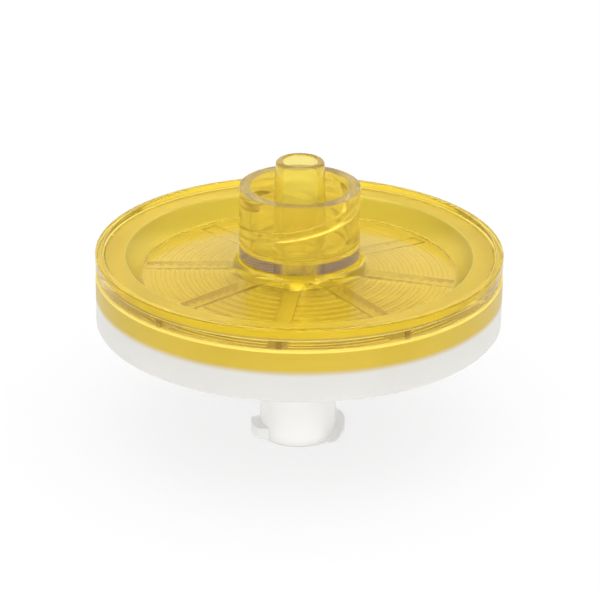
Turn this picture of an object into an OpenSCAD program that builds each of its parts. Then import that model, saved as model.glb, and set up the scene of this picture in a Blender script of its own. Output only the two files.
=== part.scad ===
// Syringe filter: outlet housing, inlet housing and the membrane clamped between them.
// Millimetres. Origin at the centre of the inlet mouth plane, +Z along the flow axis to the outlet tip.

/* [Disc] */
// overall diameter
disc_d = 33; // [27:0.5:40]
// flange top to underside
disc_h = 6.1; // [5.4:0.1:7.4]
// height of the yellow flange edge
flange_h = 0.92; // [0.6:0.01:1.2]
// height of the groove between flange and cup rim
groove_h = 0.73; // [0.4:0.01:1.0]
// depth of that groove
groove_in = 0.16; // [0.1:0.01:0.4]
// thickness of the cup wall
cup_wall = 0.62; // [0.4:0.01:0.9]
// how far the skirt reaches into the cup, below its rim
skirt_h = 2.08; // [1.6:0.01:2.5]

/* [Outlet face] */
// width of the raised outer lip at its foot
lip_w = 0.85; // [0.5:0.05:1.2]
// height of the lip above the flat ring
lip_h = 0.4; // [0.2:0.05:0.6]
// radial width of the flat ring inside the lip
land_w = 1.6; // [1:0.1:2.4]
// depth of the recess below the flat ring
recess_h = 1.6; // [1:0.05:1.9]
// radial run of the sloping recess wall
recess_run = 1.3; // [0.8:0.1:2]
// rise of the recess floor from its rim to the collar
floor_rise = 0.7; // [0.3:0.05:1.0]

/* [Collecting rings] */
// distance from ring to ring
ring_pitch = 0.8; // [0.6:0.05:1.2]
// width of a ring groove
ring_w = 0.42; // [0.3:0.02:0.56]
// depth of a ring groove
ring_h = 0.3; // [0.15:0.05:0.36]
// number of channels that join the rings
channel_n = 8; // [4:1:12]
// width of a channel
channel_w = 1.45; // [0.8:0.05:1.8]
// depth of a channel
channel_h = 0.45; // [0.3:0.05:0.55]
// turn of the channels about the axis
channel_az = -7.5; // [-22:0.5:22]

/* [Outlet connector] */
// outside diameter of the locking collar
collar_d = 9.75; // [9.2:0.05:11.8]
// collar rim above the flange top
collar_h = 5.45; // [4.8:0.05:6.6]
// diameter between the thread ridges
thread_root_d = 8; // [7.8:0.05:8.4]
// diameter inside the thread ridges
thread_crest_d = 7; // [6.8:0.05:7.2]
// rise of a ridge in one turn
thread_lead = 5; // [4:0.25:6]
// floor of the space between collar and tip, above the flange top
gap_floor = 0.55; // [0.2:0.05:1.0]
// tip diameter at its end
tip_d = 3.92; // [3.6:0.02:4.2]
// tip end above the flange top
tip_h = 7.6; // [6.4:0.1:9.2]
// diameter of the bore through the tip
tip_bore_d = 2.8; // [2:0.05:3]

/* [Inlet connector] */
// outside diameter of the neck
neck_d = 6.28; // [5.8:0.02:6.8]
// mouth to underside of the disc
neck_h = 10.25; // [9.6:0.05:12.4]
// socket diameter at the mouth
socket_d = 4.3; // [4.2:0.01:4.4]
// depth of the tapered socket
socket_h = 8; // [7.5:0.1:8.8]
// diameter across the locking lugs
lug_d = 7.74; // [7.6:0.02:8]
// lug height
lug_h = 0.95; // [0.7:0.05:1.4]
// lug underside above the mouth
lug_z = 0.2; // [0.1:0.05:0.5]

/* [Membrane] */
// wall of the skirt around the membrane
skirt_w = 2.33; // [1.6:0.01:3]
// membrane thickness
membrane_t = 0.2; // [0.1:0.02:0.3]

/* [Hidden] */
$fn = 96;

taper = 0.03;                       // luer taper: radius change for each millimetre
edge = 0.15;                        // small edge break
round_r = 0.35;                     // rounded edges of the cup
cut = 0.1;                          // how far cutting bodies run past a face
sunk = 0.1;                         // how far an added ridge runs into its wall

disc_r = disc_d / 2;
top_z = neck_h + disc_h;            // flange top
flange_z = top_z - flange_h;        // underside of the flange edge
rim_z = flange_z - groove_h;        // rim of the cup
skirt_z = rim_z - skirt_h;          // foot of the skirt, and floor of the trough
cup_in_r = disc_r - cup_wall;
skirt_gap = 0.05;
skirt_r = cup_in_r - skirt_gap;

lip_r = disc_r - lip_w;
lip_run = 0.3;                      // slope of the lip's inner side
land_z = top_z - lip_h;
land_r = lip_r - land_w;
floor_r = land_r - recess_run;
floor_z = land_z - recess_h;
collar_r = collar_d / 2;
base_fillet = 1.0;                  // fillet at the collar's foot
hub_r = collar_r + base_fillet;
hub_z = floor_z + floor_rise;

seat_r = skirt_r - skirt_w;         // inside of the skirt
membrane_gap = 0.1;                 // clearance between membrane and skirt
membrane_r = seat_r - membrane_gap;
pedestal_gap = 0.08;                // clearance between inlet pedestal and skirt
pedestal_r = seat_r - pedestal_gap;
web_t = 1.0;                        // floor above the rings at the recess rim
crest_z = floor_z - web_t;          // plane of the ring crests, on the membrane
clamp_z = crest_z - membrane_t;     // top of the inlet pedestal

ring_in = 3.0;                      // middle of the first ring groove
membrane_lap = 0.5;                 // clamped border of the membrane
ring_edge = min(floor_r, membrane_r - membrane_lap);
ring_margin = 0.9;                  // plain border outside the last ring
ring_out = ring_edge - ring_margin;
ring_n = floor((ring_out - ring_in) / ring_pitch) + 1;
channel_margin = 0.15;              // plain border outside the channels
channel_out = ring_edge - channel_margin;

collar_z = top_z + collar_h;
gap_z = top_z + gap_floor;
tip_z = top_z + tip_h;
tip_r = tip_d / 2;
tip_foot_r = tip_r + (tip_z - gap_z) * taper;
bore_r = tip_bore_d / 2;
well_w = 0.8;                       // collecting well around the bore, where the channels meet
well_r = bore_r + well_w;
well_below = 0.15;                  // depth of the well beyond the channels
well_h = channel_h + well_below;
root_r = thread_root_d / 2;
crest_r = thread_crest_d / 2;
ridge_root = 0.5;                   // half height of a ridge at its root
ridge_crest = 0.2;                  // half height of a ridge at its crest
ridge_mid = 2.85;                   // ridge above the flange top, at the front
ridge_low = gap_z + ridge_root;
ridge_high = collar_z - ridge_root;
ridge_steps = 30;
ridge_az = 270;

neck_r = neck_d / 2;
neck_fillet = 0.4;
socket_r = socket_d / 2;
socket_end_r = socket_r - socket_h * taper;
feed_r = 1.2;
chamber_border = 1;                 // width of the pedestal's rim around the chamber
chamber_r = membrane_r - chamber_border;
chamber_h = 0.45;
rib_w = 0.9;

lug_r = lug_d / 2;
lug_sunk = 0.3;                     // how far a lug runs into the neck
lug_root_r = neck_r - lug_sunk;
lug_front = -42;                    // angles of one lug about the axis
lug_back = 29;
lug_slope = 0.12;                   // fall of a lug's top from neck to outside
ramp_front = -40;
ramp_back = -3;
ramp_half = lug_r * sin((ramp_back - ramp_front) / 2);
ramp_tilt = atan(lug_h / 2 / ramp_half);

// rounded outside corner at (x, z), for a cup that is solid to the left; up = 1 for a top edge
module corner_cut(x, z, r, up) {
  difference() {
    translate([x - r, up > 0 ? z - r : z - cut])
      square([r + cut, r + cut]);
    translate([x - r, z - up * r])
      circle(r);
  }
}

// fillet between a wall on the left and a floor below (up = 1) or above (up = -1)
module cove(x, z, r, up) {
  difference() {
    translate([x - cut, up > 0 ? z - cut : z - r])
      square([r + cut, r + cut]);
    translate([x + r, z + up * r])
      circle(r);
  }
}

module outlet_profile() {
  polygon([
    [0, crest_z], [seat_r, crest_z], [seat_r, skirt_z], [skirt_r, skirt_z],
    [skirt_r, rim_z], [disc_r - groove_in, rim_z], [disc_r - groove_in, flange_z],
    [disc_r, flange_z], [disc_r, top_z - edge], [disc_r - edge, top_z],
    [lip_r + lip_run, top_z], [lip_r, land_z], [land_r, land_z],
    [floor_r, floor_z], [hub_r, hub_z], [collar_r, hub_z],
    [collar_r, collar_z], [root_r, collar_z], [root_r, gap_z],
    [tip_foot_r, gap_z], [tip_r, tip_z - edge], [tip_r - edge, tip_z], [0, tip_z]
  ]);
  cove(collar_r, hub_z, base_fillet, 1);
}

module ring_grooves() {
  rotate_extrude() {
    for (i = [0 : ring_n - 1]) {
      translate([ring_in + i * ring_pitch - ring_w / 2, crest_z - cut])
        square([ring_w, ring_h + cut]);
    }
  }
}

module channels() {
  for (i = [0 : channel_n - 1]) {
    rotate([0, 0, channel_az + i * 360 / channel_n])
      translate([bore_r, -channel_w / 2, crest_z - cut])
        cube([channel_out - bore_r, channel_w, channel_h + cut]);
  }
  translate([0, 0, crest_z - cut])
    cylinder(h = well_h + cut, r = well_r);
}

// one thread ridge, swept along its helix
module ridge(turn) {
  a_low = (ridge_low - top_z - ridge_mid) / thread_lead * 360;
  a_high = (ridge_high - top_z - ridge_mid) / thread_lead * 360;
  flank = sunk * (ridge_root - ridge_crest) / (root_r - crest_r);
  section = [
    [root_r + sunk, -ridge_root - flank], [crest_r, -ridge_crest],
    [crest_r, ridge_crest], [root_r + sunk, ridge_root + flank]
  ];
  points = [
    for (i = [0 : ridge_steps])
      let (a = a_low + (a_high - a_low) * i / ridge_steps)
        for (p = section)
          [
            p[0] * cos(ridge_az + a), p[0] * sin(ridge_az + a),
            top_z + ridge_mid + thread_lead * a / 360 + p[1]
          ]
  ];
  sides = [
    for (i = [0 : ridge_steps - 1])
      for (j = [0 : 3])
        let (k = (j + 1) % 4)
          [4 * i + j, 4 * i + 4 + j, 4 * i + 4 + k, 4 * i + k]
  ];
  last = 4 * ridge_steps;
  ends = [[0, 1, 2, 3], [last + 3, last + 2, last + 1, last]];
  rotate([0, 0, turn])
    polyhedron(points, concat(sides, ends), convexity = 4);
}

module outlet_housing() {
  color([0.88, 0.74, 0.24, 0.8]) {
    difference() {
      rotate_extrude()
        outlet_profile();
      ring_grooves();
      channels();
      translate([0, 0, crest_z - cut])
        cylinder(h = tip_z - crest_z + 2 * cut, r = bore_r);
    }
    ridge(0);
    ridge(180);
  }
}

module inlet_profile() {
  difference() {
    union() {
      polygon([
        [0, 0], [neck_r - edge, 0], [neck_r, edge], [neck_r, neck_h], [disc_r, neck_h],
        [disc_r, rim_z], [cup_in_r, rim_z], [cup_in_r, skirt_z], [pedestal_r, skirt_z],
        [pedestal_r, clamp_z], [0, clamp_z]
      ]);
      cove(neck_r, neck_h, neck_fillet, -1);
    }
    corner_cut(disc_r, rim_z, round_r, 1);
    corner_cut(disc_r, neck_h, round_r, -1);
  }
}

module chamber() {
  difference() {
    translate([0, 0, clamp_z - chamber_h])
      cylinder(h = chamber_h + cut, r = chamber_r);
    for (i = [0 : channel_n - 1]) {
      rotate([0, 0, channel_az + i * 360 / channel_n])
        translate([feed_r + rib_w, -rib_w / 2, clamp_z - chamber_h - cut])
          cube([chamber_r, rib_w, chamber_h + 3 * cut]);
    }
  }
}

module socket() {
  translate([0, 0, -cut])
    cylinder(h = socket_h + cut, r1 = socket_r + cut * taper, r2 = socket_end_r);
  cylinder(h = clamp_z, r = feed_r);
}

// one lug: flat foot, top falling outwards, and a ramp at its leading end
module lug(turn) {
  rotate([0, 0, turn])
    difference() {
      rotate([0, 0, lug_front])
        rotate_extrude(angle = lug_back - lug_front)
          polygon([
            [lug_root_r, lug_z], [lug_r - edge, lug_z], [lug_r, lug_z + edge],
            [lug_r, lug_z + lug_h], [lug_root_r, lug_z + lug_h + lug_slope]
          ]);
      rotate([0, 0, (ramp_front + ramp_back) / 2])
        translate([0, 0, lug_z + lug_h / 2])
          rotate([ramp_tilt, 0, 0])
            translate([0, -lug_r, 0])
              cube([2 * lug_r, 2 * lug_r, 2 * lug_h]);
    }
}

module inlet_housing() {
  color([0.92, 0.91, 0.89]) {
    difference() {
      union() {
        rotate_extrude()
          inlet_profile();
        lug(0);
        lug(180);
      }
      chamber();
      socket();
    }
  }
}

module membrane() {
  color([0.97, 0.97, 0.95])
    translate([0, 0, clamp_z])
      cylinder(h = membrane_t, r = membrane_r);
}

outlet_housing();
inlet_housing();
membrane();
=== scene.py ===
"""Syringe filter: a clear yellow outlet housing in a milky inlet cup, with a white membrane between."""

from math import asin, atan2, cos, hypot, pi, radians, sin, tan

import bmesh
import bpy
from mathutils import Matrix, Vector


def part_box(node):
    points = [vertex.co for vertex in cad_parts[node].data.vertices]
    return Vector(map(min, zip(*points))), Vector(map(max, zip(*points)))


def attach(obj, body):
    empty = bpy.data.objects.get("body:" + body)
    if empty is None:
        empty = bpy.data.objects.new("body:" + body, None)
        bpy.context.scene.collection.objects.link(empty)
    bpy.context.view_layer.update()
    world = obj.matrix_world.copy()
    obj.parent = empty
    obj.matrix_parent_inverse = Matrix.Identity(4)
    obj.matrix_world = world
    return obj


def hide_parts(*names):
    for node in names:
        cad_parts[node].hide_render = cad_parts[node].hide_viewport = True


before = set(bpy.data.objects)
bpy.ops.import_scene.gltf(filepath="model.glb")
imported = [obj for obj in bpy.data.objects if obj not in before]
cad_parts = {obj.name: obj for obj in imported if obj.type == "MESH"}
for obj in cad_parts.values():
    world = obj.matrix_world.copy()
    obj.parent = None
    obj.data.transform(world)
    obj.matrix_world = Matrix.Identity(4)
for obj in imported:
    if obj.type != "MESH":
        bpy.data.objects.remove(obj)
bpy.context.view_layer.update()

# ---------------------------------------------------------------- sizes
# Lengths are millimetres until a piece is finished, when it is scaled to metres.
MM = 0.001
TURN_STEPS = 240                    # flats in one turn of a moulded part
ARC_STEPS = 5                       # flats in one rounded corner
SMALL_ARC = 0.1                     # corners up to this radius get fewer flats
SMALL_ARC_STEPS = 2
NEAR = 0.001                        # how close two values count as equal
FLAT_SAG = 0.01                     # the middle of a flat lies less than this inside its circle
MERGE = 1e-4                        # vertices this close become one
SMOOTH_UP_TO = radians(32)          # edges sharper than this stay sharp

outlet_low, outlet_high = (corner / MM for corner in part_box("outlet_housing"))
_, inlet_high = (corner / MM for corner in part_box("inlet_housing"))
membrane_low, membrane_high = (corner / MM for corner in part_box("membrane"))

disc_r = outlet_high.x
tip_z = outlet_high.z
skirt_z = outlet_low.z              # foot of the skirt
crest_z = membrane_high.z           # plane of the ring crests
clamp_z = membrane_low.z            # top of the inlet pedestal
rim_z = inlet_high.z                # rim of the cup
tip_h = 7.6                         # tip above the flange
flange_h = 0.92
collar_h = 5.45
gap_floor = 0.55                    # height over the flange of the floor between collar and tip
top_z = tip_z - tip_h               # top of the flange
flange_z = top_z - flange_h
collar_z = top_z + collar_h
gap_z = top_z + gap_floor
air = 0.015                         # air left between pieces that touch

groove_in = 0.16                    # depth of the groove under the flange
cup_wall = 0.62
skirt_gap = 0.05
membrane_gap = 0.1
groove_r = disc_r - groove_in
cup_in_r = disc_r - cup_wall
skirt_r = cup_in_r - skirt_gap
seat_r = membrane_high.x + membrane_gap

lip_w = 0.85
lip_h = 0.4
lip_run = 0.3                       # slope of the lip's inner side
land_w = 1.6
recess_run = 1.3                    # width of the sloping wall of the recess
recess_h = 1.6
floor_rise = 0.7                    # rise of the recess floor to the collar
lip_r = disc_r - lip_w
land_z = top_z - lip_h
land_r = lip_r - land_w
floor_r = land_r - recess_run
floor_z = land_z - recess_h
collar_r = 4.875
base_fillet = 1.0
hub_z = floor_z + floor_rise
root_r = 4.0                        # inside of the collar, where the thread starts
tip_r = 1.96
taper = 0.03                        # luer taper, radius for each millimetre
bore_r = 1.4
well_r = 2.2
well_h = 0.6

ring_in = 3.0
ring_pitch = 0.8
ring_n = 12
ring_w = 0.42
ring_h = 0.07
ring_lean = 0.02                    # how far each side of a ring groove leans in
ring_edge = 0.01                    # radius of its edges
channel_n = 8
channel_w = 1.45
channel_h = 0.30                    # depth of a channel at its outer end
channel_rise = 0.03                 # how much deeper it gets for each millimetre inwards
channel_turn = radians(-7.5)
channel_margin = 0.15               # plain border outside the channels
channel_out = floor_r - channel_margin
channel_spokes = 5                  # spokes from a channel's middle to its side
draft = 0.03                        # lean of the walls of the channels, the chamber and its ribs
front_within = radians(60)          # a front channel is within this turn of the front

stud_step = 36                      # degrees between studs, the small ribs in the groove under the flange
stud_middles = (84.7, 264.7)        # the middle ones of the three at the back and the three at the front
stud_turns = [radians(middle + step) for middle in stud_middles for step in (-stud_step, 0, stud_step)]
stud_reach = 0.1
stud_margin = 0.2                   # faces with their middle this near the groove's ends aren't raised

thread_lead = 5.0
thread_mid = 2.85                   # ridge above the flange top, at the front
thread_run_out = radians(60)        # turn over which a ridge rises to its full depth
ridge_crest_r = 3.5
ridge_root = 0.5                    # half height at the root
ridge_crest = 0.2                   # half height at the crest
thread_foot = gap_z + 0.3           # part of the collar wall that holds the ridges
thread_top = collar_z - 0.1
thread_rows = 76                    # rows of faces in that part

neck_r = 3.14
neck_h = 10.25
mouth_edge = 0.12                   # rounding of the mouth
socket_r = 2.15
socket_h = 8.0
feed_r = 1.2
pedestal_gap = 0.08
chamber_border = 1.0                # width of the pedestal's rim around the chamber
chamber_h = 0.45
pedestal_r = seat_r - pedestal_gap
chamber_r = membrane_high.x - chamber_border
chamber_z = clamp_z - chamber_h
rib_w = 0.9                         # width of the ribs in the chamber
rib_r = feed_r + rib_w              # inner end of the ribs
rib_spokes = 3                      # spokes from a rib's middle to its side

lug_r = 3.87
lug_z = 0.2
lug_h = 0.95
lug_slope = 0.12                    # fall of a lug's top from the neck to its outside
lug_edge = 0.07                     # rounding of its outer edges
lug_least = 0.1                     # how far its slanting ends still stand out of the neck
lug_front = radians(-46)            # outer corners of a lug, and where its slanting ends meet the neck
lug_back = radians(28.5)
front_root = radians(-55)
back_root = radians(42)
ramp_front = radians(-40)           # part of a lug's top that climbs
ramp_back = radians(-3)
lowest_climb = 0.1                  # share of its height that a lug keeps at its front end


# ---------------------------------------------------------------- mesh tools
def rounded(corners):
    """Closed outline through corners (r, z, radius), each one turned into an arc of that radius."""
    outline = []
    for i, (r, z, radius) in enumerate(corners):
        here = Vector((r, z))
        if radius == 0:
            outline.append(here)
            continue
        back = (Vector(corners[i - 1][:2]) - here).normalized()
        ahead = (Vector(corners[(i + 1) % len(corners)][:2]) - here).normalized()
        half = back.angle(ahead) / 2
        middle = here + (back + ahead).normalized() * radius / sin(half)
        start = here + back * radius / tan(half) - middle
        turn = start.angle_signed(here + ahead * radius / tan(half) - middle)
        steps = SMALL_ARC_STEPS if radius <= SMALL_ARC else ARC_STEPS
        for step in range(steps + 1):
            outline.append(middle + Matrix.Rotation(-turn * step / steps, 2) @ start)
    return outline


def turned(outline):
    """A closed outline spun one full turn about Z."""
    bm = bmesh.new()
    verts = [bm.verts.new((point.x, 0, point.y)) for point in outline]
    edges = [bm.edges.new((verts[i - 1], verts[i])) for i in range(len(verts))]
    bmesh.ops.spin(bm, geom=verts + edges, cent=(0, 0, 0), axis=(0, 0, 1), angle=2 * pi,
                   steps=TURN_STEPS, use_merge=True, use_duplicate=False)
    bmesh.ops.remove_doubles(bm, verts=bm.verts, dist=MERGE)
    bmesh.ops.recalc_face_normals(bm, faces=bm.faces)
    return bm


def polar(vert):
    """Radius and angle of a vertex about Z."""
    return hypot(vert.co.x, vert.co.y), atan2(vert.co.y, vert.co.x)


def wrapped(angle):
    """The same angle, between minus and plus half a turn."""
    return (angle + pi) % (2 * pi) - pi


def put(vert, radius, angle, z):
    """Moves a vertex to a radius and angle about Z, and a height."""
    vert.co = (radius * cos(angle), radius * sin(angle), z)


def spokes_along(bm, half_width, spokes_inside, inner, outer, low, high, level):
    """Slides the spokes of a turned face onto the sides of radial strips.

    Works on the vertices from inner to outer radius and from low to high. The strips are half_width to each
    side of their middle line. What is inside a strip moves to the height that level gives for its radius
    and height, and the spoke just inside each side leans in by the draft.
    """
    sector = 2 * pi / channel_n
    spokes = TURN_STEPS // channel_n // 2
    for vert in bm.verts:
        radius, angle = polar(vert)
        if not (inner - NEAR < radius < outer + NEAR and low - NEAR < vert.co.z < high + NEAR):
            continue
        across = (angle - channel_turn + sector / 2) % sector - sector / 2
        spoke = round(abs(across) / sector * 2 * spokes)
        middle = angle - across
        side = 1 if across > 0 else -1
        edge = asin(half_width / radius)
        if spoke <= spokes_inside:
            turn = asin((half_width - draft) / radius) * spoke / spokes_inside
        else:
            outwards = (spoke - spokes_inside - 1) / (spokes - spokes_inside - 1)
            turn = edge + (sector / 2 - edge) * outwards
        inside = spoke <= spokes_inside and inner < radius < outer - draft / 2
        put(vert, radius, middle + side * turn, level(radius, vert.co.z) if inside else vert.co.z)
    bmesh.ops.remove_doubles(bm, verts=bm.verts, dist=MERGE)


def as_object(bm, name):
    """The bmesh as an object."""
    mesh = bpy.data.meshes.new(name)
    bm.to_mesh(mesh)
    bm.free()
    piece = bpy.data.objects.new(name, mesh)
    bpy.context.scene.collection.objects.link(piece)
    return piece


def finished(piece, material, node):
    """Shades a piece smoothly with its flat faces kept flat, and puts it in the frame, in metres."""
    bm = bmesh.new()
    bm.from_mesh(piece.data)
    bmesh.ops.recalc_face_normals(bm, faces=bm.faces)
    for face in bm.faces:
        face.smooth = True
    for edge in bm.edges:
        edge.smooth = edge.calc_face_angle(0) < SMOOTH_UP_TO
    bm.to_mesh(piece.data)
    bm.free()
    # The modifier leaves faces as small as these in metres alone, so it is applied in millimetres.
    weighted = piece.modifiers.new("flat faces stay flat", "WEIGHTED_NORMAL")
    weighted.keep_sharp = True
    evaluated = piece.evaluated_get(bpy.context.evaluated_depsgraph_get())
    shaded = bpy.data.meshes.new_from_object(evaluated)
    piece.modifiers.clear()
    piece.data = shaded
    shaded.transform(Matrix.Scale(MM, 4))
    shaded.materials.clear()
    shaded.materials.append(material)
    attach(piece, "root")
    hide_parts(node)
    return piece


# ---------------------------------------------------------------- materials
PAINTED_SHADE_FACES = "dark_wall"             # face attribute of the faces that get painted shade: walls and studs that look dark through the plastic


def new_material(name):
    """A material with its node tree and its Principled shader."""
    material = bpy.data.materials.new(name)
    material.use_nodes = True
    return material, material.node_tree, material.node_tree.nodes["Principled BSDF"]


def node(tree, kind, **inputs):
    """A node of that kind with its inputs set by name; spaces in names are written as underscores."""
    made = tree.nodes.new(kind)
    for key, value in inputs.items():
        made.inputs[key.replace("_", " ")].default_value = value
    return made


def mould_skin_group():
    """Faint unevenness of a moulded plastic skin: slow flow marks and a fine orange-peel height."""
    group = bpy.data.node_groups.new("mould_skin", "ShaderNodeTree")
    group.interface.new_socket("Flow Size", in_out="INPUT", socket_type="NodeSocketFloat")
    group.interface.new_socket("Peel Size", in_out="INPUT", socket_type="NodeSocketFloat")
    group.interface.new_socket("Flow", in_out="OUTPUT", socket_type="NodeSocketFloat")
    group.interface.new_socket("Peel", in_out="OUTPUT", socket_type="NodeSocketFloat")
    start = group.nodes.new("NodeGroupInput")
    end = group.nodes.new("NodeGroupOutput")
    place = group.nodes.new("ShaderNodeTexCoord")
    flow = node(group, "ShaderNodeTexNoise", Detail=3.0, Roughness=0.55, Distortion=0.6)
    peel = node(group, "ShaderNodeTexNoise", Detail=2.0, Roughness=0.5)
    group.links.new(place.outputs["Object"], flow.inputs["Vector"])
    group.links.new(place.outputs["Object"], peel.inputs["Vector"])
    group.links.new(start.outputs["Flow Size"], flow.inputs["Scale"])
    group.links.new(start.outputs["Peel Size"], peel.inputs["Scale"])
    group.links.new(flow.outputs["Fac"], end.inputs["Flow"])
    group.links.new(peel.outputs["Fac"], end.inputs["Peel"])
    return group


mould_skin = mould_skin_group()


def skin_node(tree, flow_size, peel_size):
    """The shared moulded skin, with the sizes of this material."""
    skin = tree.nodes.new("ShaderNodeGroup")
    skin.node_tree = mould_skin
    skin.inputs["Flow Size"].default_value = flow_size
    skin.inputs["Peel Size"].default_value = peel_size
    return skin


def colour_steps(tree, source, steps):
    """A colour ramp on source; steps are its two stops, (position, colour) each."""
    ramp = tree.nodes.new("ShaderNodeValToRGB")
    ramp.color_ramp.interpolation = "EASE"
    for number, (position, colour) in enumerate(steps):
        stop = ramp.color_ramp.elements[number]
        stop.position = position
        stop.color = (*colour, 1)
    tree.links.new(source, ramp.inputs["Fac"])
    return ramp.outputs["Color"]


def range_of(tree, source, low, high):
    """source from 0..1 spread over low..high."""
    spread = node(tree, "ShaderNodeMapRange", To_Min=low, To_Max=high)
    tree.links.new(source, spread.inputs["Value"])
    return spread.outputs["Result"]


def above(tree, source, low, high):
    """0 where source is under low, 1 where it is over high, and soft between."""
    step = node(tree, "ShaderNodeMapRange", From_Min=low, From_Max=high)
    step.interpolation_type = "SMOOTHSTEP"
    tree.links.new(source, step.inputs["Value"])
    return step.outputs["Result"]


def times(tree, first, second):
    """The product of two masks."""
    product = tree.nodes.new("ShaderNodeMath")
    product.operation = "MULTIPLY"
    tree.links.new(first, product.inputs[0])
    tree.links.new(second, product.inputs[1])
    return product.outputs[0]


def blend(tree, mask, under, over):
    """Colour under, and over where the mask is 1; each is a socket or a plain colour."""
    mix = tree.nodes.new("ShaderNodeMix")
    mix.data_type = "RGBA"
    tree.links.new(mask, mix.inputs["Factor"])
    for socket, colour in ((mix.inputs["A"], under), (mix.inputs["B"], over)):
        if isinstance(colour, tuple):
            socket.default_value = (*colour, 1)
        else:
            tree.links.new(colour, socket)
    return mix.outputs["Result"]


def blend_value(tree, mask, under, over):
    """The value of socket under, and the number over where the mask is 1."""
    mix = node(tree, "ShaderNodeMix", B=over)
    tree.links.new(mask, mix.inputs["Factor"])
    tree.links.new(under, mix.inputs["A"])
    return mix.outputs["Result"]


def zone(tree, height, radius, low, high, inner, outer, soft=0.04):
    """1 between two heights and two radii in millimetres, fading to 0 over soft outside them."""
    mask = above(tree, height, (low - soft) * MM, low * MM)
    for source, limit in ((height, high), (radius, outer)):
        mask = times(tree, mask, above(tree, source, (limit + soft) * MM, limit * MM))
    return times(tree, mask, above(tree, radius, (inner - soft) * MM, inner * MM))


def height_radius_across(tree):
    """Height over the inlet's mouth, distance from the axis, and place from left to right, in metres."""
    place = tree.nodes.new("ShaderNodeTexCoord")
    axes = tree.nodes.new("ShaderNodeSeparateXYZ")
    tree.links.new(place.outputs["Object"], axes.inputs["Vector"])
    flat = tree.nodes.new("ShaderNodeCombineXYZ")
    tree.links.new(axes.outputs["X"], flat.inputs["X"])
    tree.links.new(axes.outputs["Y"], flat.inputs["Y"])
    length = tree.nodes.new("ShaderNodeVectorMath")
    length.operation = "LENGTH"
    tree.links.new(flat.outputs["Vector"], length.inputs[0])
    return axes.outputs["Z"], length.outputs["Value"], axes.outputs["X"]


def bumped(tree, shader, height, distance, strength):
    """A bump of that height on the shader's normal."""
    bump = tree.nodes.new("ShaderNodeBump")
    bump.inputs["Strength"].default_value = strength
    bump.inputs["Distance"].default_value = distance
    tree.links.new(height, bump.inputs["Height"])
    tree.links.new(bump.outputs["Normal"], shader.inputs["Normal"])


def yellow_tints_and_painted_light():
    """Zones of the outlet housing with a colour of their own, most of them painted light and shade: the
    colour, and what zone() takes.
    """
    return (
        # collar, and tip
        ((0.94, 0.71, 0.12), (gap_z, collar_z, root_r - 0.6, disc_r, 0.3)),
        ((1, 0.76, 0.11), (gap_z, tip_z, 0, root_r - 1.2, 0.3)),
        # floor of the recess, painted darker: painted shade
        ((0.84, 0.60, 0.06), (floor_z - 0.1, hub_z + 0.05, 0, floor_r)),
        # bore, painted lighter: painted light coming through its thin wall
        ((1, 0.97, 0.66), (gap_z + 2, tip_z - 0.15, 0, bore_r + 0.02)),
        # rim of the tip, and rim of the collar, painted browner and darker: painted shade
        ((0.70, 0.50, 0.18), (tip_z - 0.10, tip_z, bore_r + 0.04, tip_r)),
        ((0.72, 0.54, 0.22), (collar_z - 0.04, collar_z, root_r, collar_r)),
        # wall of the recess, and its upper edge, painted lighter: painted light
        ((1, 0.80, 0.12), (floor_z + 0.1, land_z - 0.12, floor_r - 0.2, land_r)),
        ((1, 0.84, 0.14), (land_z - 0.12, land_z + 0.05, land_r - 0.10, land_r + 0.08)),
        # lower edge of the flange with a painted highlight, and a painted dark line over it
        ((1, 0.96, 0.60), (flange_z + 0.02, flange_z + 0.10, disc_r - 0.10, disc_r)),
        ((0.62, 0.44, 0.16), (flange_z + 0.14, flange_z + 0.24, disc_r - 0.05, disc_r)),
        # groove under the flange, painted darker: painted shade
        ((0.66, 0.48, 0.12), (rim_z, flange_z - 0.05, groove_r - 0.1, groove_r + 0.05)),
    )


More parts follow.
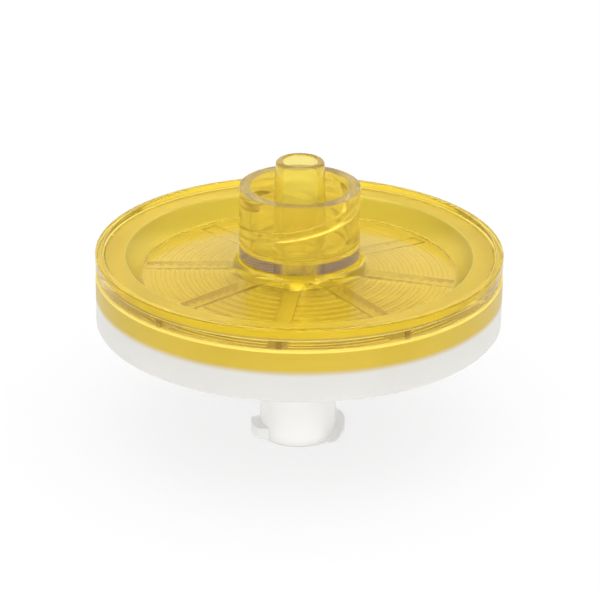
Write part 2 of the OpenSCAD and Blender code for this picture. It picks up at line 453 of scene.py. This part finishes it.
def yellow_plastic():
    """Clear yellow moulding plastic, with tints by zone, most of them painted light and shade, and a
    painted shade on the foot of the collar, browner and darker.
    """
    material, tree, shader = new_material("yellow_plastic")
    skin = skin_node(tree, flow_size=160.0, peel_size=1400.0)
    flow = skin.outputs["Flow"]
    height, radius, across = height_radius_across(tree)
    colour = colour_steps(tree, flow, [(0.3, (0.94, 0.69, 0.05)), (0.7, (0.97, 0.72, 0.07))])
    for tint, place in yellow_tints_and_painted_light():
        colour = blend(tree, zone(tree, height, radius, *place), colour, tint)
    # The dye takes its share in the first wall, so light that has come through one wall keeps its colour.
    path = tree.nodes.new("ShaderNodeLightPath")
    passed = above(tree, path.outputs["Transmission Depth"], 1.0, 2.0)
    colour = blend(tree, passed, colour, (1, 0.97, 0.74))
    # Painted shade: the solid foot of the collar is painted darkest at its left and right sides. Squares
    # drop the sign of across.
    foot_place = (hub_z + base_fillet, gap_z - 0.05, collar_r - 0.1, collar_r + 0.1, 0.1)
    foot = zone(tree, height, radius, *foot_place)
    side_from = 1.2 * MM
    side_full = 1.7 * MM
    at_sides = above(tree, times(tree, across, across), side_from ** 2, side_full ** 2)
    foot = times(tree, foot, range_of(tree, at_sides, 0.45, 1.0))
    colour = blend(tree, foot, colour, (0.21, 0.16, 0.40))
    # Painted shade: the marked channel walls and studs are painted dark.
    walls = tree.nodes.new("ShaderNodeAttribute")
    walls.attribute_name = PAINTED_SHADE_FACES
    colour = blend(tree, walls.outputs["Fac"], colour, (0.40, 0.24, 0.10))
    tree.links.new(colour, shader.inputs["Base Color"])
    clear = range_of(tree, flow, 0.06, 0.10)
    in_recess = zone(tree, height, radius, floor_z - 0.1, hub_z + 0.1, 0, lip_r, 0.1)
    on_wall = zone(tree, height, radius, floor_z + 0.1, land_z + 0.05, floor_r - 0.1, lip_r, 0.1)
    soft = blend_value(tree, on_wall, blend_value(tree, in_recess, clear, 0.17), 0.35)
    tree.links.new(soft, shader.inputs["Roughness"])
    shader.inputs["Transmission Weight"].default_value = 0.86
    shader.inputs["IOR"].default_value = 1.42
    shader.inputs["Specular IOR Level"].default_value = 0.15
    shader.inputs["Specular Tint"].default_value = (1, 0.72, 0.05, 1)
    bumped(tree, shader, skin.outputs["Peel"], distance=2e-6, strength=0.3)
    return material


def hazy_plastic():
    """Milky uncoloured moulding plastic; outside, the cup wall shows the yellow of the skirt behind it, and
    some zones have painted light and shade.
    """
    material, tree, shader = new_material("hazy_plastic")
    skin = skin_node(tree, flow_size=120.0, peel_size=900.0)
    flow = skin.outputs["Flow"]
    height, radius, _ = height_radius_across(tree)
    colour = colour_steps(tree, flow, [(0.3, (0.735, 0.72, 0.69)), (0.7, (0.755, 0.74, 0.71))])
    behind = colour_steps(tree, flow, [(0.3, (0.57, 0.39, 0.03)), (0.7, (0.60, 0.415, 0.035))])
    over_skirt_foot = above(tree, height, (skirt_z - 0.20) * MM, (skirt_z + 0.42) * MM)
    outside = above(tree, radius, (disc_r - 0.4) * MM, (disc_r - 0.2) * MM)
    beside_skirt = times(tree, over_skirt_foot, outside)
    colour = blend(tree, beside_skirt, colour, behind)
    tints = (
        # rim of the cup, bright yellow: the skirt's yellow seen through it, with a painted highlight
        ((0.98, 0.74, 0.12), (rim_z - 0.2, rim_z, cup_in_r, disc_r, 0.08)),
        # neck, and the lugs on it, painted whiter: painted light
        ((0.98, 0.975, 0.965), (0, neck_h - 0.1, 0, lug_r + 0.1, 0.1)),
        ((1, 1, 0.99), (0, neck_h - 0.1, neck_r + 0.1, lug_r + 0.1, 0.05)),
        # edge of the mouth, darker than the neck, and inside of the socket, painted darker: painted shade
        ((0.74, 0.74, 0.74), (0, mouth_edge, neck_r - 0.15, neck_r + 0.02)),
        ((0.62, 0.615, 0.60), (mouth_edge, socket_h, 0, socket_r + 0.02)),
    )
    for tint, place in tints:
        colour = blend(tree, zone(tree, height, radius, *place), colour, tint)
    # These colours are for the face that light meets first; the faces behind it add little more.
    path = tree.nodes.new("ShaderNodeLightPath")
    passed = above(tree, path.outputs["Transmission Depth"], 0.0, 1.0)
    colour = blend(tree, passed, colour, (0.98, 0.97, 0.95))
    tree.links.new(colour, shader.inputs["Base Color"])
    tree.links.new(range_of(tree, flow, 0.28, 0.38), shader.inputs["Roughness"])
    shader.inputs["Transmission Weight"].default_value = 0.55
    shader.inputs["IOR"].default_value = 1.45
    shader.inputs["Specular IOR Level"].default_value = 0.3
    gloss = blend(tree, beside_skirt, (1, 1, 1), (1, 0.65, 0.04))
    tree.links.new(gloss, shader.inputs["Specular Tint"])
    bumped(tree, shader, skin.outputs["Peel"], distance=3e-6, strength=0.3)
    return material


def membrane_felt():
    """Off-white porous membrane with a fine felted grain."""
    material, tree, shader = new_material("membrane")
    place = tree.nodes.new("ShaderNodeTexCoord")
    grain = node(tree, "ShaderNodeTexNoise", Scale=2600.0, Detail=4.0, Roughness=0.7)
    tree.links.new(place.outputs["Object"], grain.inputs["Vector"])
    steps = [(0.3, (0.90, 0.90, 0.87)), (0.7, (0.96, 0.96, 0.94))]
    colour = colour_steps(tree, grain.outputs["Fac"], steps)
    tree.links.new(colour, shader.inputs["Base Color"])
    tree.links.new(range_of(tree, grain.outputs["Fac"], 0.75, 0.95), shader.inputs["Roughness"])
    bumped(tree, shader, grain.outputs["Fac"], distance=2e-5, strength=0.5)
    return material


# ---------------------------------------------------------------- pieces
def outlet_corners():
    """Outline of the outlet housing, from the bore along the underside and back over the top."""
    corners = [(bore_r, crest_z + well_h, 0), (well_r, crest_z + well_h, 0.05), (well_r, crest_z, 0.05)]
    for i in range(ring_n):
        inside = ring_in + i * ring_pitch - ring_w / 2
        outside = inside + ring_w
        corners += [(inside, crest_z, ring_edge), (inside + ring_lean, crest_z + ring_h, ring_edge)]
        corners += [(outside - ring_lean, crest_z + ring_h, ring_edge), (outside, crest_z, ring_edge)]
    corners += [
        (channel_out - draft, crest_z, 0), (channel_out, crest_z, 0),
        (seat_r, crest_z, 0.1), (seat_r, skirt_z + air, 0.15), (skirt_r, skirt_z + air, 0.15),
        (skirt_r, rim_z + air, 0), (groove_r, rim_z + air, 0.05), (groove_r, flange_z, 0.06),
        (disc_r, flange_z, 0.12), (disc_r, top_z, 0.13),
        (lip_r + lip_run, top_z, 0.15), (lip_r, land_z, 0.15), (land_r, land_z, 0.18),
        (floor_r, floor_z, 0.35), (collar_r + base_fillet, hub_z, 0),
        (collar_r, hub_z, base_fillet), (collar_r, collar_z, 0.07), (root_r, collar_z, 0.07),
    ]
    for i in range(thread_rows + 1):
        corners.append((root_r, thread_top + (thread_foot - thread_top) * i / thread_rows, 0))
    corners += [
        (root_r, gap_z, 0.25), (tip_r + (tip_z - gap_z) * taper, gap_z, 0.25),
        (tip_r, tip_z, 0.28), (bore_r, tip_z, 0.12),
    ]
    return corners


def ease(value):
    """0 to 1 with soft ends."""
    value = min(max(value, 0), 1)
    return value * value * (3 - 2 * value)


def raise_thread(bm):
    """Pushes two helical ridges, half a turn apart, out of the collar's inner wall."""
    low = gap_z + ridge_root
    high = collar_z - ridge_root
    run = thread_lead * thread_run_out / (2 * pi)
    for vert in bm.verts:
        radius, angle = polar(vert)
        if abs(radius - root_r) > NEAR or not thread_foot - NEAR < vert.co.z < thread_top + NEAR:
            continue
        depth = 0
        for start in (0, pi):
            for turn in range(-2, 3):
                climbed = angle + pi / 2 - start + turn * 2 * pi
                middle = top_z + thread_mid + thread_lead * climbed / (2 * pi)
                off = abs(vert.co.z - middle)
                ends = min(ease((middle - low) / run), ease((high - middle) / run))
                across = ease((ridge_root - off) / (ridge_root - ridge_crest))
                depth = max(depth, (root_r - ridge_crest_r) * ends * across)
        put(vert, radius - depth, angle, vert.co.z)


def mark_painted_shade(bm):
    """Raises the studs in the groove under the flange, and marks the faces that get painted shade.

    Marked are the studs and, in each front channel, the side wall that faces the front; the material paints
    them dark, a painted shade for how they look through the plastic.
    """
    mark = bm.faces.layers.float.new(PAINTED_SHADE_FACES)
    bm.normal_update()
    studs = []
    for face in bm.faces:
        middle = face.calc_center_median()
        radius = hypot(middle.x, middle.y)
        around = Vector((-middle.y, middle.x, 0)).normalized()
        side_wall = crest_z < middle.z < crest_z + channel_h and abs(face.normal.dot(around)) > 0.5
        if side_wall and face.normal.y < 0 and middle.y < -cos(front_within) * radius:
            face[mark] = 1
        in_groove = abs(radius - groove_r) < FLAT_SAG
        if in_groove and rim_z + stud_margin < middle.z < flange_z - stud_margin:
            angle = atan2(middle.y, middle.x)
            if any(cos(angle - turn) > cos(pi / TURN_STEPS) for turn in stud_turns):
                studs.append(face)
    for face in studs:
        face[mark] = 1
    pulled = bmesh.ops.extrude_discrete_faces(bm, faces=studs)["faces"]
    for face in pulled:
        outwards = Vector((face.normal.x, face.normal.y, 0)).normalized()
        bmesh.ops.translate(bm, vec=outwards * stud_reach, verts=face.verts)


def make_outlet_housing(material):
    """The outlet housing: its turned outline with the channels, the thread and the studs."""
    bm = turned(rounded(outlet_corners()))
    roof_z = crest_z + channel_h
    spokes_along(bm, channel_w / 2, channel_spokes, well_r, channel_out, crest_z, crest_z + well_h,
                 lambda radius, z: max(z, roof_z + (channel_out - radius) * channel_rise))
    raise_thread(bm)
    mark_painted_shade(bm)
    return finished(as_object(bm, "outlet_body"), material, "outlet_housing")


def inlet_corners():
    """Outline of the inlet housing, from the mouth outwards over the neck and the cup to the socket."""
    return [
        (socket_r, 0, mouth_edge), (neck_r, 0, mouth_edge),
        (neck_r, lug_z, 0), (neck_r, lug_z + lug_h, 0),
        (neck_r, neck_h, 0.4), (disc_r, neck_h, 0.35),
        (disc_r, rim_z, 0.2), (cup_in_r, rim_z, 0.08),
        (cup_in_r, skirt_z, 0.1), (pedestal_r, skirt_z, 0.1),
        (pedestal_r, clamp_z, 0.1), (chamber_r, clamp_z, 0), (chamber_r - draft, chamber_z, 0),
        (rib_r + draft, chamber_z, 0), (rib_r, chamber_z, 0),
        (feed_r, chamber_z, 0.05), (feed_r, socket_h, 0.05),
        (socket_r - socket_h * taper, socket_h, 0.1),
    ]


def lug_reach(along):
    """Radius of a lug's outside at an angle along it; its ends slant in to the neck in straight lines."""
    for corner, root in ((lug_front, front_root), (lug_back, back_root)):
        if abs(along) > abs(corner) and along * corner > 0:
            inwards = neck_r * cos(root) - lug_r * cos(corner)
            sideways = lug_r * sin(corner) - neck_r * sin(root)
            facing = atan2(inwards, sideways)
            return max(lug_r * cos(corner - facing) / cos(along - facing), neck_r + lug_least)
    return lug_r


def lug_top(along):
    """Height of a lug's top at an angle along it, with the ramp at its front end."""
    ramp_half = lug_r * sin((ramp_back - ramp_front) / 2)
    climb = 0.5 + 0.5 * lug_r * sin(along - (ramp_front + ramp_back) / 2) / ramp_half
    return lug_z + lug_h * min(max(climb, lowest_climb), 1)


def raise_lugs(bm):
    """Extrudes the two locking lugs out of the neck."""
    step = 2 * pi / TURN_STEPS
    for turn in (0, pi):
        band = []
        for face in bm.faces:
            middle = face.calc_center_median()
            angle = wrapped(atan2(middle.y, middle.x) - turn)
            on_neck = abs(hypot(middle.x, middle.y) - neck_r) < FLAT_SAG
            if on_neck and lug_z < middle.z < lug_z + lug_h and front_root < angle < back_root:
                band.append(face)
        pulled = bmesh.ops.extrude_face_region(bm, geom=band)["geom"]
        outer = [item for item in pulled if isinstance(item, bmesh.types.BMVert)]
        bmesh.ops.delete(bm, geom=band, context="FACES")
        for vert in bm.verts:
            radius, angle = polar(vert)
            along = wrapped(angle - turn)
            high = abs(vert.co.z - lug_z - lug_h) < NEAR
            if abs(radius - neck_r) < NEAR and high and front_root - step < along < back_root + step:
                vert.co.z = lug_top(along) + (0 if vert in outer else lug_slope)
        for vert in outer:
            radius, angle = polar(vert)
            put(vert, lug_reach(wrapped(angle - turn)), angle, vert.co.z)
        faces = [face for face in bm.faces if all(vert in outer for vert in face.verts)]
        rim = [edge for edge in bm.edges if sum(face in faces for face in edge.link_faces) == 1]
        bmesh.ops.bevel(bm, geom=rim, offset=lug_edge, offset_type="OFFSET", segments=2, profile=0.5,
                        affect="EDGES", material=-1, clamp_overlap=True)


def make_inlet_housing(material):
    """The inlet housing: its turned outline with the ribs of the feed chamber and the two lugs."""
    bm = turned(rounded(inlet_corners()))
    rib_top = clamp_z - air
    spokes_along(bm, rib_w / 2, rib_spokes, rib_r, chamber_r, chamber_z, chamber_z,
                 lambda radius, z: rib_top)
    raise_lugs(bm)
    return finished(as_object(bm, "inlet_body"), material, "inlet_housing")


def make_membrane(material):
    """A thin flat disc, with its facets running out from a small one in its middle."""
    edge_r = membrane_high.x
    facet_r = 0.3
    bm = bmesh.new()
    bmesh.ops.create_circle(bm, cap_ends=True, radius=edge_r, segments=TURN_STEPS)
    bmesh.ops.translate(bm, vec=(0, 0, clamp_z + air), verts=bm.verts)
    bmesh.ops.inset_region(bm, faces=bm.faces[:], thickness=edge_r - facet_r, depth=0)
    sheet = bmesh.ops.extrude_face_region(bm, geom=bm.faces[:])
    lifted = [item for item in sheet["geom"] if isinstance(item, bmesh.types.BMVert)]
    bmesh.ops.translate(bm, vec=(0, 0, crest_z - clamp_z - 2 * air), verts=lifted)
    return finished(as_object(bm, "membrane_disc"), material, "membrane")


# ---------------------------------------------------------------- setting
def seen_directly(tree):
    """1 for rays from the camera and for those that glass or gloss passes on, else 0."""
    path = tree.nodes.new("ShaderNodeLightPath")
    total = path.outputs["Is Camera Ray"]
    for ray in ("Is Glossy Ray", "Is Transmission Ray"):
        either = tree.nodes.new("ShaderNodeMath")
        either.operation = "MAXIMUM"
        tree.links.new(total, either.inputs[0])
        tree.links.new(path.outputs[ray], either.inputs[1])
        total = either.outputs[0]
    return total


def make_floor():
    """A plain pale floor, 3 m square, that shows nearly white when seen and keeps the object's shadow."""
    bm = bmesh.new()
    bmesh.ops.create_grid(bm, x_segments=1, y_segments=1, size=1.5)
    floor = as_object(bm, "floor")
    material, tree, shader = new_material("pale_floor")
    seen = seen_directly(tree)
    colour = blend(tree, seen, (0.88, 0.88, 0.88), (0.15, 0.15, 0.15))
    tree.links.new(colour, shader.inputs["Base Color"])
    shader.inputs["Roughness"].default_value = 0.9
    shader.inputs["Specular IOR Level"].default_value = 0.1
    shader.inputs["Emission Color"].default_value = (1, 1, 1, 1)
    tree.links.new(range_of(tree, seen, 0.5, 0.75), shader.inputs["Emission Strength"])
    floor.data.materials.append(material)


def make_world():
    """A plain white world: a soft light on the object, and white where it is seen."""
    world = bpy.data.worlds.new("studio")
    bpy.context.scene.world = world
    world.use_nodes = True
    background = world.node_tree.nodes["Background"]
    background.inputs["Color"].default_value = (1, 1, 1, 1)
    background.inputs["Strength"].default_value = 1.0


def make_lamp(name, place, aim, size, watts):
    """A square soft lamp at place, facing aim. Lengths are metres."""
    light = bpy.data.lights.new(name, "AREA")
    light.size = size
    light.energy = watts
    lamp = bpy.data.objects.new(name, light)
    bpy.context.scene.collection.objects.link(lamp)
    lamp.location = place
    lamp.rotation_euler = (Vector(aim) - Vector(place)).to_track_quat("-Z", "Y").to_euler()


def make_camera():
    """The camera, aimed at the object from the front and above. Lengths are metres."""
    elevation = radians(23.28)
    distance = 0.2464
    aim = Vector((0.000082, 0, 0.011826))
    roll = radians(0.52)
    view = bpy.data.cameras.new("camera")
    view.sensor_width = 36
    view.lens = 181.5
    view.clip_start = 0.01
    view.clip_end = 10
    camera = bpy.data.objects.new("camera", view)
    bpy.context.scene.collection.objects.link(camera)
    camera.location = aim + Vector((0, -cos(elevation), sin(elevation))) * distance
    camera.rotation_euler = (pi / 2 - elevation, 0, 0)
    camera.rotation_euler.rotate_axis("Z", roll)
    bpy.context.scene.camera = camera


# ---------------------------------------------------------------- scene
make_camera()
make_outlet_housing(yellow_plastic())
make_inlet_housing(hazy_plastic())
make_membrane(membrane_felt())
make_floor()
make_world()
make_lamp("overhead", place=(0.05, 0, 0.65), aim=(0, 0, 0.015), size=1.1, watts=4.0)
make_lamp("front", place=(0, -0.65, 0.45), aim=(0, 0, 0.01), size=1.0, watts=3.6)
bpy.context.scene.view_settings.view_transform = "Standard"
